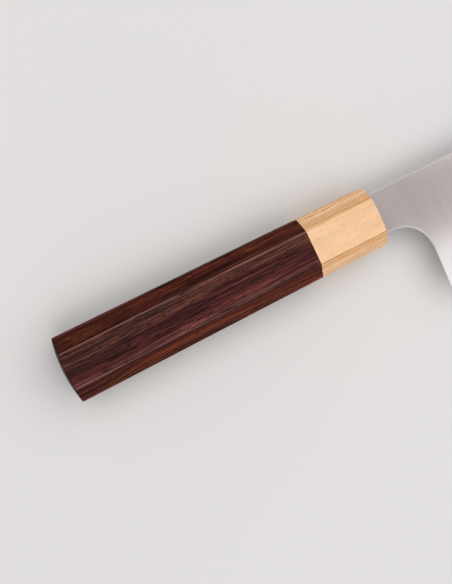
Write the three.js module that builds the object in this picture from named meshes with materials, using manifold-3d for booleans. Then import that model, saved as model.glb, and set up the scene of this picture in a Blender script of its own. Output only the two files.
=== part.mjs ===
// A santoku kitchen knife with an octagonal two-wood handle, in millimetres.
//
// The knife lies on its side. In the knife's own axes x runs along the handle's axis from the butt
// to the tip, with 0 at the rim of the ferrule's front; y points from the cutting edge to the spine; and
// z points up through the flat of the blade, with 0 in its mid-plane. The whole knife is then moved
// so that the origin lies at the middle of its footprint, on the surface that it lies on.

import * as THREE from "three";
import { mergeVertices } from "three/addons/utils/BufferGeometryUtils.js";
import Module from "manifold-3d";

const wasm = await Module();
wasm.setup();

// Handle: an octagon that tapers evenly from the butt to the ferrule's front, between shallow domes.
// Its length is between the outermost corners of its two ends, and the domes rise beyond these.
const handleLength = 130.05;
const ferruleLength = 28.8;
const frontWidth = 23.9;
const frontThickness = 18.4;
const frontCorner = 5.2;
const buttWidth = 25.5;
const buttThickness = 20;
const buttCorner = 6;
const buttDome = 1.63;
const ferruleDome = 1;

// Blade outline: neck, heel, cutting edge, sheep's-foot tip and straight spine.
const spineHeight = 8.5;
const neckDepth = 8.5;
const heelOffset = 18.6;
const heelRadius = 13.2;
const heelLean = 0.4;
const bladeHeight = 50;
const bladeLength = 178;
const flatEdgeLength = 60;
const tipRise = 8;
const straightSpineLength = 102;

// Blade section: an even blank at the neck, ground to a wedge by the heel, then sharpened.
const blankThickness = 2.2;
const tipSpineThickness = 2;
const grindThickness = 0.36;
const grindStart = 2;
const sharpenedHeight = 0.7;
const edgeLand = 0.06;

// Tang: the narrow tongue behind the neck that runs back into the handle.
const tangRootHeight = 10;
const tangEndHeight = 6;
const tangLength = 92;
const shoulderGap = 0.3;

// Joint inside the handle: a kerfed dowel in a blind bore, with the tang bedded in resin.
const ferruleFrontWall = 7;
const dowelCover = 0.2;
const dowelTail = 10;
const dowelBevel = 0.6;
const beddingThickness = 1;
const beddingRecess = 0.5;
const kerfRoom = 1.5;
const glueGap = 0.3;

// Fineness of the round and blended stretches, how far a cutter reaches past what it cuts, and how
// far the ground faces run on past the spine and the cutting edge.
const roundSides = 48;
const arcSteps = 20;
const domeSteps = 6;
const grindSteps = 6;
const cutterReach = 4;
const grindReach = 2;

// Sizes that follow from the ones above.
const shoulderX = ferruleDome + shoulderGap;
const beddingFront = ferruleDome - beddingRecess;
const edgeLine = spineHeight - bladeHeight;
const heelCorner = heelOffset - heelLean;
const tipX = heelCorner + bladeLength;
const tipY = edgeLine + tipRise;
const bellyStart = heelCorner + flatEdgeLength;
const spineDropStart = heelOffset + straightSpineLength;
const slotHalfHeight = tangRootHeight / 2 + beddingThickness;
const slotHalfThickness = blankThickness / 2 + beddingThickness;
const dowelRadius = Math.hypot(slotHalfHeight, slotHalfThickness) + dowelCover;
const boreRadius = dowelRadius + glueGap;
const boreFront = -ferruleFrontWall;
const kerfEnd = -tangLength - kerfRoom;
const dowelEnd = kerfEnd - dowelTail;

function lerp(from, to, share) {
  return from + (to - from) * share;
}

// The octagon of the handle at a place along it, as corners in order around the x axis.
function octagon(x) {
  const share = -x / handleLength;
  const w = lerp(frontWidth, buttWidth, share) / 2;
  const t = lerp(frontThickness, buttThickness, share) / 2;
  const corner = lerp(frontCorner, buttCorner, share);
  const section = [
    [w, t - corner],
    [w - corner, t],
    [corner - w, t],
    [-w, t - corner],
    [-w, corner - t],
    [corner - w, -t],
    [w - corner, -t],
    [w, corner - t],
  ];
  return section.map(([y, z]) => new THREE.Vector3(x, y, z));
}

// A closed solid through convex rings of corners, which go round the x axis by the right-hand rule
// and follow each other towards +x.
function loft(rings) {
  const count = rings[0].length;
  const faces = [];
  for (let i = 0; i + 1 < rings.length; i++) {
    for (let j = 0; j < count; j++) {
      const a = i * count + j;
      const b = i * count + ((j + 1) % count);
      faces.push(a, b, b + count, a, b + count, a + count);
    }
  }
  const last = (rings.length - 1) * count;
  for (let j = 1; j + 1 < count; j++) {
    faces.push(0, j + 1, j);
    faces.push(last, last + j, last + j + 1);
  }
  const geometry = new THREE.BufferGeometry().setFromPoints(rings.flat());
  geometry.setIndex(faces);
  return geometry;
}

// A box between two places along the knife, centred on its axis.
function bar(start, end, halfHeight, halfThickness) {
  const geometry = new THREE.BoxGeometry(end - start, 2 * halfHeight, 2 * halfThickness);
  return geometry.translate((start + end) / 2, 0, 0);
}

// A round bar along the x axis, with bevelled ends where it has a bevel.
function roundBar(start, end, radius, bevel = 0) {
  const profile = [
    [0, start],
    [radius - bevel, start],
    [radius, start + bevel],
    [radius, end - bevel],
    [radius - bevel, end],
    [0, end],
  ];
  const points = profile.map(([r, along]) => new THREE.Vector2(r, along));
  const distinct = points.filter((point, i) => i === 0 || !point.equals(points[i - 1]));
  return new THREE.LatheGeometry(distinct, roundSides).rotateZ(-Math.PI / 2);
}

// A flat outline made a plate, centred on the blade's mid-plane.
function plate(shape, thickness) {
  const options = { depth: thickness, bevelEnabled: false, curveSegments: arcSteps };
  return new THREE.ExtrudeGeometry(shape, options).translate(0, 0, -thickness / 2);
}

// A closed geometry as a solid that can be joined and cut.
function solid(geometry) {
  const bare = geometry.clone();
  bare.deleteAttribute("normal");
  bare.deleteAttribute("uv");
  const merged = mergeVertices(bare);
  const vertProperties = new Float32Array(merged.attributes.position.array);
  const triVerts = new Uint32Array(merged.index.array);
  return new wasm.Manifold(new wasm.Mesh({ numProp: 3, vertProperties, triVerts }));
}

// A mesh with its node's name, from a finished solid.
function named(name, made, material) {
  const { vertProperties, triVerts } = made.getMesh();
  const geometry = new THREE.BufferGeometry();
  geometry.setAttribute("position", new THREE.BufferAttribute(vertProperties, 3));
  geometry.setIndex(new THREE.BufferAttribute(triVerts, 1));
  geometry.computeVertexNormals();
  const mesh = new THREE.Mesh(geometry, material);
  mesh.name = name;
  return mesh;
}

// The tang's corners behind the shoulders, with its outline grown by a margin.
function tangCorners(margin = 0) {
  const root = tangRootHeight / 2 + margin;
  const end = tangEndHeight / 2 + margin;
  const back = -tangLength - margin;
  return [
    new THREE.Vector2(shoulderX, -root),
    new THREE.Vector2(back, -end),
    new THREE.Vector2(back, end),
    new THREE.Vector2(shoulderX, root),
  ];
}

// Radius of the arc that leaves a straight line and reaches a place so far along and so far off it.
function runOffRadius(along, off) {
  return (along * along + off * off) / (2 * off);
}

// Half a dome's outline, from its top out past the octagon's corners, as distances from the x axis
// and from the end's rim.
function domeProfile(end, rise) {
  const corner = Math.max(...octagon(end).map(({ y, z }) => Math.hypot(y, z)));
  const radius = runOffRadius(corner, rise);
  const sweep = Math.asin((corner + cutterReach) / radius);
  const profile = [];
  for (let i = 0; i <= domeSteps; i++) {
    const angle = (sweep * i) / domeSteps;
    profile.push([radius * Math.sin(angle), rise - radius * (1 - Math.cos(angle))]);
  }
  return profile;
}

// The turned bar whose domed ends the handle's octagon is cut to.
function domedBar() {
  const butt = domeProfile(-handleLength, buttDome).map(([r, out]) => [r, -handleLength - out]);
  const front = domeProfile(0, ferruleDome).reverse();
  const points = [...butt, ...front].map(([r, along]) => new THREE.Vector2(r, along));
  return new THREE.LatheGeometry(points, roundSides).rotateZ(-Math.PI / 2);
}

const spineArc = runOffRadius(tipX - spineDropStart, spineHeight - tipY);
const bellyArc = runOffRadius(tipX - bellyStart, tipRise);

// Neck, spine, tip, cutting edge, heel and tang in one outline, clockwise from the upper shoulder.
function bladeShape() {
  const up = Math.PI / 2;
  const spineSweep = Math.asin((tipX - spineDropStart) / spineArc);
  const bellySweep = Math.asin((tipX - bellyStart) / bellyArc);
  const heelCentreY = -neckDepth - heelRadius;
  const shape = new THREE.Shape();
  shape.moveTo(shoulderX, spineHeight);
  shape.lineTo(spineDropStart, spineHeight);
  shape.absarc(spineDropStart, spineHeight - spineArc, spineArc, up, up - spineSweep, true);
  shape.absarc(bellyStart, edgeLine + bellyArc, bellyArc, bellySweep - up, -up, true);
  shape.lineTo(heelCorner, edgeLine);
  shape.lineTo(heelOffset, heelCentreY);
  shape.absarc(heelOffset - heelRadius, heelCentreY, heelRadius, 0, up, false);
  shape.lineTo(shoulderX, -neckDepth);
  for (const { x, y } of tangCorners()) shape.lineTo(x, y);
  shape.closePath();
  return shape;
}

// Half the ground thickness at the spine and at the cutting edge's level, at a place along the knife.
// The faces are even up to the neck, blend into the wedge as far as the heel, and are flat beyond it.
function groundHalf(x) {
  const blend = THREE.MathUtils.smoothstep(x, grindStart, heelCorner);
  const beyondHeel = Math.max(0, x - heelCorner) / bladeLength;
  const taper = lerp(0, blankThickness - tipSpineThickness, beyondHeel);
  const edge = lerp(blankThickness, grindThickness, blend) - taper;
  return { spine: (blankThickness - taper) / 2, edge: Math.max(edge, edgeLand) / 2 };
}

// The envelope that grinding leaves.
function grindEnvelope() {
  const stations = [-tangLength - cutterReach, grindStart];
  for (let i = 1; i <= grindSteps; i++) {
    stations.push(lerp(grindStart, heelCorner, i / grindSteps));
  }
  stations.push(tipX + cutterReach);
  const rings = stations.map((x) => {
    const { spine, edge } = groundHalf(x);
    const slope = (spine - edge) / bladeHeight;
    const top = spine + slope * grindReach;
    const bottom = Math.max(edge - slope * grindReach, edgeLand / 2);
    return [
      new THREE.Vector3(x, spineHeight + grindReach, top),
      new THREE.Vector3(x, edgeLine - grindReach, bottom),
      new THREE.Vector3(x, edgeLine - grindReach, -bottom),
      new THREE.Vector3(x, spineHeight + grindReach, -top),
    ];
  });
  return loft(rings);
}

// What sharpening takes off one side: a strip that follows the cutting edge and leans in to it.
function sharpeningCut(side) {
  const places = [new THREE.Vector2(heelCorner - cutterReach, edgeLine)];
  for (let i = 0; i <= arcSteps; i++) {
    const x = lerp(bellyStart, tipX + cutterReach, i / arcSteps);
    const y = edgeLine + bellyArc - Math.sqrt(bellyArc ** 2 - (x - bellyStart) ** 2);
    places.push(new THREE.Vector2(x, y));
  }
  const rise = ((grindThickness - edgeLand) / 2) * (cutterReach / sharpenedHeight);
  const rings = places.map(({ x, y }) => {
    const ring = [
      new THREE.Vector3(x, y - cutterReach, side * (edgeLand / 2 - rise)),
      new THREE.Vector3(x, y + cutterReach, side * (edgeLand / 2 + rise)),
      new THREE.Vector3(x, y + cutterReach, side * (blankThickness + rise)),
      new THREE.Vector3(x, y - cutterReach, side * (blankThickness + rise)),
    ];
    return side > 0 ? ring : ring.reverse();
  });
  return loft(rings);
}

function makeBlade() {
  const outline = solid(plate(bladeShape(), 2 * blankThickness));
  const ground = outline.intersect(solid(grindEnvelope()));
  return ground.subtract(solid(sharpeningCut(1))).subtract(solid(sharpeningCut(-1)));
}

// The octagon in front of the joint, bored from behind, with a slot for the tang in its front wall.
function makeFerrule() {
  const stick = solid(loft([octagon(-ferruleLength), octagon(cutterReach)]));
  const blank = stick.intersect(solid(domedBar()));
  const bore = solid(roundBar(-ferruleLength - cutterReach, boreFront, boreRadius));
  const slot = solid(bar(boreFront - cutterReach, cutterReach, slotHalfHeight, slotHalfThickness));
  return blank.subtract(bore).subtract(slot);
}

// The octagon behind the joint, with a domed butt and a blind bore from the front.
function makeHandleBody() {
  const stick = solid(loft([octagon(-handleLength - cutterReach), octagon(-ferruleLength)]));
  const bore = solid(roundBar(dowelEnd - glueGap, -ferruleLength + cutterReach, boreRadius));
  return stick.intersect(solid(domedBar())).subtract(bore);
}

// The dowel that joins the two octagons, with a saw kerf that is open at its front end.
function makeDowel() {
  const stick = solid(roundBar(dowelEnd, boreFront - glueGap, dowelRadius, dowelBevel));
  return stick.subtract(solid(bar(kerfEnd, boreFront, boreRadius, slotHalfThickness)));
}

// Cured resin in the slot, and in the kerf as far as the bore's wall, all round the tang.
function makeTangBedding() {
  const halfThickness = slotHalfThickness - glueGap;
  const bore = solid(roundBar(kerfEnd + glueGap, boreFront - glueGap, boreRadius - glueGap));
  const inKerf = bore.intersect(solid(bar(kerfEnd, boreFront, boreRadius, halfThickness)));
  const slotHeight = slotHalfHeight - glueGap;
  const inSlot = solid(bar(boreFront - cutterReach, beddingFront, slotHeight, halfThickness));
  const shape = new THREE.Shape(tangCorners(glueGap));
  const tang = solid(plate(shape, blankThickness + 2 * glueGap));
  return inKerf.add(inSlot).subtract(tang);
}

const steel = new THREE.MeshStandardMaterial({ color: 0xb9b1af, roughness: 0.35, metalness: 1 });
const rosewood = new THREE.MeshStandardMaterial({ color: 0x4b2c26, roughness: 0.45, metalness: 0 });
const paleWood = new THREE.MeshStandardMaterial({ color: 0xe9bd90, roughness: 0.55, metalness: 0 });
const dowelWood = new THREE.MeshStandardMaterial({ color: 0xc9a477, roughness: 0.7, metalness: 0 });
const resin = new THREE.MeshStandardMaterial({ color: 0x3a2f25, roughness: 0.4, metalness: 0 });

const knife = new THREE.Group();
knife.add(
  named("blade", makeBlade(), steel),
  named("ferrule", makeFerrule(), paleWood),
  named("handle_body", makeHandleBody(), rosewood),
  named("dowel", makeDowel(), dowelWood),
  named("tang_bedding", makeTangBedding(), resin),
);

const box = new THREE.Box3().setFromObject(knife);
const middle = box.getCenter(new THREE.Vector3());
knife.position.set(-middle.x, -middle.y, -box.min.z);

const part = new THREE.Group();
part.add(knife);
export default part;
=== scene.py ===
"""Looks of a santoku knife with an octagonal two-wood handle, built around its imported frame.

The knife lies level on its side: the tip towards +X, the spine towards +Y, the flat of the blade up.
Size fields are millimetres on the knife's own axes, which start on the handle's axis in the plane of the
ferrule's front rim. KnifeFrame.place turns them into metres in the row frame. Only the studio is in metres.
"""

import logging
import math
from contextlib import contextmanager
from dataclasses import dataclass
from enum import Enum
from typing import Callable, Iterator, NamedTuple, Optional, Sequence, Union

import bmesh
import bpy
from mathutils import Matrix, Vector

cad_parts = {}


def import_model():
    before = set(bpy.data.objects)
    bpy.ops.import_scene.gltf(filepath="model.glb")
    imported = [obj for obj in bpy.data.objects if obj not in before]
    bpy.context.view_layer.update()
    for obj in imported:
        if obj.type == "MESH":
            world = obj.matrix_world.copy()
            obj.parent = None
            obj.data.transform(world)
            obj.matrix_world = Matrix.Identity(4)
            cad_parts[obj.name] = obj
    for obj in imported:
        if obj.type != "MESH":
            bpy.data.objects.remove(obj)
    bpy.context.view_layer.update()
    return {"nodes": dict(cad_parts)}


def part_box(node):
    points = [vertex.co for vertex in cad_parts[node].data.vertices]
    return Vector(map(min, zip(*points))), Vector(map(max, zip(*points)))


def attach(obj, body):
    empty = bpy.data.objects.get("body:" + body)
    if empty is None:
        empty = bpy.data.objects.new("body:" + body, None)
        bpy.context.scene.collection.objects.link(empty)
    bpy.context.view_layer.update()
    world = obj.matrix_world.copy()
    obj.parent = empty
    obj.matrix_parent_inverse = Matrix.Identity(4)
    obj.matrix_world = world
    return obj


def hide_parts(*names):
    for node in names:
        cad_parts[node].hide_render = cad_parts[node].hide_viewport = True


MM = 0.001
FERRULE_LENGTH = 28.8
ROUND_SEGMENTS = 4
ROD_SIDES = 64
SAME_PLACE = 0.01
LOG = logging.getLogger("santoku")

Triple = tuple[float, float, float]
Colour = Triple
Span = tuple[float, float, float, float]
Ring = list[tuple[float, float]]
Piece = bpy.types.Object
Socket = bpy.types.NodeSocket
Signal = Union[Socket, float, tuple]
Inputs = dict[Union[str, int], Signal]


def srgb(red: int, green: int, blue: int) -> Colour:
    """Turns a display colour of 0 to 255 into the linear colour that a shader takes.

    Args:
        red: Red as displayed.
        green: Green as displayed.
        blue: Blue as displayed.

    Returns:
        The linear colour.
    """

    def linear(level: int) -> float:
        """Undoes the display curve for one channel."""
        share = level / 255
        return share / 12.92 if share <= 0.04045 else ((share + 0.055) / 1.055) ** 2.4

    return (linear(red), linear(green), linear(blue))


def lerp(start: float, end: float, share: float) -> float:
    """Goes from start to end by a share."""
    return start + (end - start) * share


def evenly(start: float, end: float, steps: int) -> list[float]:
    """Goes from start to end in equal steps."""
    return [lerp(start, end, i / steps) for i in range(steps + 1)]


class Part(Enum):
    """The kinds of mesh element that can be selected in edit mode."""

    VERTS = "VERT"
    EDGES = "EDGE"
    FACES = "FACE"


def select_only(piece: Piece) -> None:
    """Selects one object, makes it the active one and deselects everything else.

    Args:
        piece: The object.
    """
    bpy.ops.object.select_all(action="DESELECT")
    piece.select_set(True)
    bpy.context.view_layer.objects.active = piece


@contextmanager
def editing(piece: Piece) -> Iterator[None]:
    """Holds a piece in edit mode for the length of a with block.

    Args:
        piece: The mesh object to edit.

    Returns:
        The context of the with block.
    """
    select_only(piece)
    bpy.ops.object.mode_set(mode="EDIT")
    yield
    bpy.ops.object.mode_set(mode="OBJECT")


def choose(piece: Piece, part: Part, test: Callable[..., bool]) -> None:
    """Selects the elements that pass a test, and nothing else, in edit mode.

    Args:
        piece: The mesh object in edit mode.
        part: The kind of element to select.
        test: Says whether an element is selected.
    """
    bpy.ops.mesh.select_mode(type=part.value)
    bpy.ops.mesh.select_all(action="DESELECT")
    mesh = bmesh.from_edit_mesh(piece.data)
    elements = {Part.VERTS: mesh.verts, Part.EDGES: mesh.edges, Part.FACES: mesh.faces}
    for element in elements[part]:
        if test(element):
            element.select_set(True)
    mesh.select_flush_mode()
    bmesh.update_edit_mesh(piece.data)


def choose_all() -> None:
    """Selects the whole mesh in edit mode."""
    bpy.ops.mesh.select_all(action="SELECT")


def trim(point: Vector, outwards: Vector) -> None:
    """Cuts off what lies beyond a plane and closes the cut, in edit mode."""
    choose_all()
    bpy.ops.mesh.bisect(plane_co=point, plane_no=outwards, use_fill=True, clear_outer=True)


def round_edges(width: float) -> None:
    """Rounds the selected edges by a width in millimetres, in edit mode."""
    bpy.ops.mesh.bevel(offset=width * MM, segments=ROUND_SEGMENTS, profile=0.5, affect="EDGES")


def christen(name: str) -> Piece:
    """Names the primitive that was just added and moves its place into its mesh.

    Args:
        name: The piece's name.

    Returns:
        The primitive.
    """
    piece = bpy.context.object
    piece.name = name
    piece.data.name = name
    select_only(piece)
    bpy.ops.object.transform_apply(location=True, rotation=True, scale=True)
    return piece


def apply_modifier(piece: Piece, kind: str, **settings: object) -> None:
    """Adds a modifier with its settings and applies it.

    Args:
        piece: The mesh object.
        kind: Blender's name of the modifier.
        **settings: The modifier's settings.
    """
    select_only(piece)
    bpy.ops.object.modifier_add(type=kind)
    modifier = piece.modifiers[-1]
    for name, value in settings.items():
        setattr(modifier, name, value)
    bpy.ops.object.modifier_apply(modifier=modifier.name)


class Joining(Enum):
    """The ways that a second solid acts on a piece."""

    CUT = "DIFFERENCE"
    ADD = "UNION"


def combine(piece: Piece, solid: Piece, joining: Joining) -> None:
    """Cuts a closed solid out of a piece or adds it to the piece, and removes the solid."""
    apply_modifier(piece, "BOOLEAN", operation=joining.value, solver="EXACT", object=solid)
    bpy.data.objects.remove(solid)


def smooth(piece: Piece, sharp_turn: float = 30.0) -> None:
    """Shades a piece smooth, with flat faces kept flat.

    Args:
        piece: The mesh object.
        sharp_turn: Edges that turn by more than these degrees stay sharp.
    """
    select_only(piece)
    bpy.ops.object.shade_smooth_by_angle(angle=math.radians(sharp_turn))
    apply_modifier(piece, "WEIGHTED_NORMAL", keep_sharp=True, weight=100)


def stand_for(piece: Piece, finish: bpy.types.Material, node: str) -> None:
    """Dresses a piece and makes it ride on the knife in place of a CAD node.

    Args:
        piece: The finished mesh object.
        finish: Its material.
        node: The CAD node that it replaces.
    """
    piece.data.materials.append(finish)
    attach(piece, "root")
    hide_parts(node)


@dataclass(frozen=True)
class KnifeFrame:
    """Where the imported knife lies, in metres, with the ways to start a piece there."""

    front_x: float
    axis_y: float
    axis_z: float

    @classmethod
    def measure(cls) -> "KnifeFrame":
        """Reads the knife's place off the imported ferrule."""
        low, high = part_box("ferrule")
        return cls(low.x + FERRULE_LENGTH * MM, (low.y + high.y) / 2, (low.z + high.z) / 2)

    def place(self, along: float, up: float = 0.0, out: float = 0.0) -> Vector:
        """Finds a point of the knife in the row frame.

        Args:
            along: Millimetres from the ferrule's front rim towards the tip.
            up: Millimetres from the handle's axis towards the spine.
            out: Millimetres from the blade's mid-plane, up from the floor.

        Returns:
            The point in metres.
        """
        return Vector((self.front_x + along * MM, self.axis_y + up * MM, self.axis_z + out * MM))

    def along(self, point: Vector) -> float:
        """Millimetres from the ferrule's front rim towards the tip, for a point in the row frame."""
        return (point.x - self.front_x) / MM

    def block(
        self,
        name: str,
        rear: float,
        front: float,
        rear_size: Sequence[float],
        front_size: Optional[Sequence[float]] = None,
    ) -> Piece:
        """Adds a straight or tapered block on the handle's axis.

        Args:
            name: Its name.
            rear: Where it starts, in millimetres along the knife.
            front: Where it ends.
            rear_size: Its height and thickness at the rear.
            front_size: Its height and thickness in front, where they differ.

        Returns:
            The block.
        """
        middle = self.place((rear + front) / 2)
        size = [length * MM for length in (front - rear, *rear_size)]
        bpy.ops.object.select_all(action="DESELECT")
        bpy.ops.mesh.primitive_cube_add(size=1.0, location=middle, scale=size)
        block = christen(name)
        if front_size:
            ratios = [in_front / behind for in_front, behind in zip(front_size, rear_size)]
            with editing(block):
                choose(block, Part.VERTS, lambda vert: vert.co.x > middle.x)
                bpy.ops.transform.resize(value=(1.0, *ratios), center_override=self.place(front))
        return block

    def rod(self, name: str, rear: float, front: float, radius: float) -> Piece:
        """Adds a rod on the handle's axis.

        Args:
            name: Its name.
            rear: Where it starts, in millimetres along the knife.
            front: Where it ends.
            radius: Its radius.

        Returns:
            The rod.
        """
        bpy.ops.object.select_all(action="DESELECT")
        bpy.ops.mesh.primitive_cylinder_add(
            vertices=ROD_SIDES,
            radius=radius * MM,
            depth=(front - rear) * MM,
            location=self.place((rear + front) / 2),
            rotation=(0.0, math.pi / 2, 0.0),
        )
        return christen(name)


class Nodes:
    """A shader node tree, with short ways to add nodes and join them."""

    def __init__(self, tree: bpy.types.NodeTree) -> None:
        """Takes the tree to work on."""
        self.tree = tree

    def fill(self, node: bpy.types.Node, values: Inputs) -> None:
        """Fills inputs of a node.

        Args:
            node: The node.
            values: What goes to its inputs, sockets to link or plain values.
        """
        for name, value in values.items():
            if isinstance(value, Socket):
                self.tree.links.new(value, node.inputs[name])
            else:
                node.inputs[name].default_value = value

    def add(self, kind: str, values: Inputs, **settings: object) -> bpy.types.Node:
        """Adds a node.

        Args:
            kind: The node's type without its ShaderNode prefix.
            values: What goes to its inputs, sockets to link or plain values.
            **settings: The node's own settings.

        Returns:
            The node.
        """
        node = self.tree.nodes.new("ShaderNode" + kind)
        for name, value in settings.items():
            setattr(node, name, value)
        self.fill(node, values)
        return node

    def math(self, operation: str, first: Signal, second: Signal = 0.0) -> Socket:
        """Joins two values by an operation."""
        return self.add("Math", {0: first, 1: second}, operation=operation).outputs[0]

    def plus(self, first: Signal, second: Signal) -> Socket:
        """Adds two values."""
        return self.math("ADD", first, second)

    def minus(self, first: Signal, second: Signal) -> Socket:
        """Takes the second value from the first."""
        return self.math("SUBTRACT", first, second)

    def times(self, first: Signal, second: Signal) -> Socket:
        """Multiplies two values."""
        return self.math("MULTIPLY", first, second)

    def over(self, first: Signal, second: Signal) -> Socket:
        """Divides the first value by the second."""
        return self.math("DIVIDE", first, second)

    def vector(self, operation: str, first: Signal, second: Signal) -> Socket:
        """Joins two vectors by an operation that gives a vector."""
        return self.add("VectorMath", {0: first, 1: second}, operation=operation).outputs[0]

    def joined(self, along: Signal, up: Signal, out: Signal) -> Socket:
        """Makes a vector of three values."""
        return self.add("CombineXYZ", {0: along, 1: up, 2: out}).outputs[0]

    def axes(self, vector: Signal) -> bpy.types.bpy_prop_collection:
        """Gives a vector's X, Y and Z."""
        return self.add("SeparateXYZ", {0: vector}).outputs

    def place(self, origin: Sequence[float] = (0.0, 0.0, 0.0)) -> Socket:
        """Reads the place on a piece.

        Args:
            origin: The point to measure from, in metres in the row frame.

        Returns:
            The place in millimetres.
        """
        metres = self.add("TexCoord", {}).outputs["Object"]
        values = {"Vector": metres, "Location": -Vector(origin) / MM, "Scale": (1 / MM,) * 3}
        return self.add("Mapping", values).outputs[0]

    def attribute(self, name: str) -> Socket:
        """Reads a value that is kept on the mesh."""
        return self.add("Attribute", {}, attribute_name=name).outputs["Fac"]

    def remap(
        self, value: Signal, low: Signal, high: Signal, to_low: Signal = 0.0, to_high: Signal = 1.0
    ) -> Socket:
        """Maps one range smoothly onto another, held at its ends.

        Args:
            value: The value to map.
            low: Where the range starts.
            high: Where the range ends.
            to_low: The result at its start.
            to_high: The result at its end.

        Returns:
            The mapped value.
        """
        values = {0: value, 1: low, 2: high, 3: to_low, 4: to_high}
        return self.add("MapRange", values, interpolation_type="SMOOTHSTEP").outputs[0]

    def noise(
        self, vector: Signal, scale: float = 1.0, detail: float = 2.0, roughness: float = 0.5
    ) -> Socket:
        """Adds noise in three dimensions.

        Args:
            vector: Where the noise is read.
            scale: Its frequency there.
            detail: How many finer layers it has.
            roughness: How strong these are.

        Returns:
            The noise, around one half.
        """
        values = {"Vector": vector, "Scale": scale, "Detail": detail, "Roughness": roughness}
        return self.add("TexNoise", values).outputs["Fac"]

    def ramp(self, share: Signal, stops: Sequence[tuple[float, Colour]]) -> Socket:
        """Turns a share into a colour.

        Args:
            share: The value, from 0 to 1.
            stops: Places along it, in order, with their linear colours.

        Returns:
            The colour.
        """
        node = self.add("ValToRGB", {0: share})
        elements = node.color_ramp.elements
        while len(elements) < len(stops):
            elements.new(1.0)
        for element, (place, colour) in zip(elements, stops):
            element.position = place
            element.color = (*colour, 1.0)
        return node.outputs["Color"]

    def blend(self, share: Signal, first: Signal, second: Signal) -> Socket:
        """Blends two colours.

        Args:
            share: How much of the second one there is.
            first: A colour or its socket.
            second: A colour or its socket.

        Returns:
            The blended colour.
        """
        padded = [(*colour, 1.0) if isinstance(colour, tuple) else colour for colour in (first, second)]
        return self.add("Mix", {0: share, 6: padded[0], 7: padded[1]}, data_type="RGBA").outputs[2]

    def stain(self, colour: Signal, mask: Signal, strength: float, tone: Signal) -> Socket:
        """Stains a colour with another one, by a mask times a strength."""
        return self.blend(self.times(mask, strength), colour, tone)

    def lit(self, colour: Signal, light: Signal) -> Socket:
        """Makes a colour lighter or darker by a factor."""
        padded = (*colour, 1.0) if isinstance(colour, tuple) else colour
        return self.add("HueSaturation", {"Color": padded, "Value": light}).outputs[0]

    def bump(self, height: Signal, strength: float, depth: float) -> Socket:
        """Turns a height into a normal, for a relief of a depth in millimetres."""
        return self.add("Bump", {"Height": height, "Strength": strength, "Distance": depth * MM}).outputs[0]

    def group(self, effect: "Effect", *values: Signal) -> Socket:
        """Places a shared effect, with values in the order of its inputs."""
        given = dict(zip(EFFECT_INPUTS[effect], values))
        return self.add("Group", given, node_tree=effect_tree(effect)).outputs[0]


class Effect(Enum):
    """The shared effects, each a node group."""

    STREAKS = "wood_streaks"
    LAYERS = "growth_layers"
    PORES = "wood_pores"


EFFECT_INPUTS = {
    Effect.STREAKS: {"Place": "Vector", "Width": "Float", "Stretch": "Float", "Shift": "Float"},
    Effect.LAYERS: {"Place": "Vector", "Across": "Vector", "Spacing": "Float", "Wobble": "Float"},
    Effect.PORES: {"Place": "Vector", "Width": "Float", "Stretch": "Float", "Amount": "Float"},
}


class Streaks(NamedTuple):
    """Streaks of colour: millimetres wide, so many times as long, and shifted in the pattern."""

    width: float
    stretch: float
    shift: float


class Layers(NamedTuple):
    """Growth layers: the direction that they lie across, millimetres apart, and how far they wander."""

    across: Triple
    spacing: float
    wobble: float


class Pores(NamedTuple):
    """Open pores: millimetres wide, so many times as long, and how much of the wood they take up."""

    width: float
    stretch: float
    amount: float


def effect_tree(effect: Effect) -> bpy.types.NodeTree:
    """Gives a shared effect's node group, made at its first use.

    Args:
        effect: The effect.

    Returns:
        Its node group, with one value from 0 to 1 as output.
    """
    made = bpy.data.node_groups.get(effect.value)
    if made:
        return made
    tree = bpy.data.node_groups.new(effect.value, "ShaderNodeTree")
    for name, kind in EFFECT_INPUTS[effect].items():
        tree.interface.new_socket(name, in_out="INPUT", socket_type="NodeSocket" + kind)
    tree.interface.new_socket("Value", in_out="OUTPUT", socket_type="NodeSocketFloat")
    given = tree.nodes.new("NodeGroupInput").outputs
    makers = {Effect.STREAKS: draw_streaks, Effect.LAYERS: draw_layers, Effect.PORES: draw_pores}
    value = makers[effect](Nodes(tree), given)
    tree.links.new(value, tree.nodes.new("NodeGroupOutput").inputs["Value"])
    return tree


def drawn_out(nodes: Nodes, given: bpy.types.bpy_prop_collection) -> Socket:
    """Scales a place so that what is one across is Width wide and Stretch times as long along x.

    Args:
        nodes: The group's node tree.
        given: The group's inputs.

    Returns:
        The scaled place.
    """
    across = nodes.over(1.0, given["Width"])
    scale = nodes.joined(nodes.over(across, given["Stretch"]), across, across)
    return nodes.vector("MULTIPLY", given["Place"], scale)


def draw_streaks(nodes: Nodes, given: bpy.types.bpy_prop_collection) -> Socket:
    """Draws soft streaks of colour that run with the fibres.

    Args:
        nodes: The group's node tree.
        given: The group's inputs.

    Returns:
        The streaks, around one half.
    """
    shift = nodes.joined(given["Shift"], given["Shift"], given["Shift"])
    return nodes.noise(nodes.vector("ADD", drawn_out(nodes, given), shift), roughness=0.55)


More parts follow.
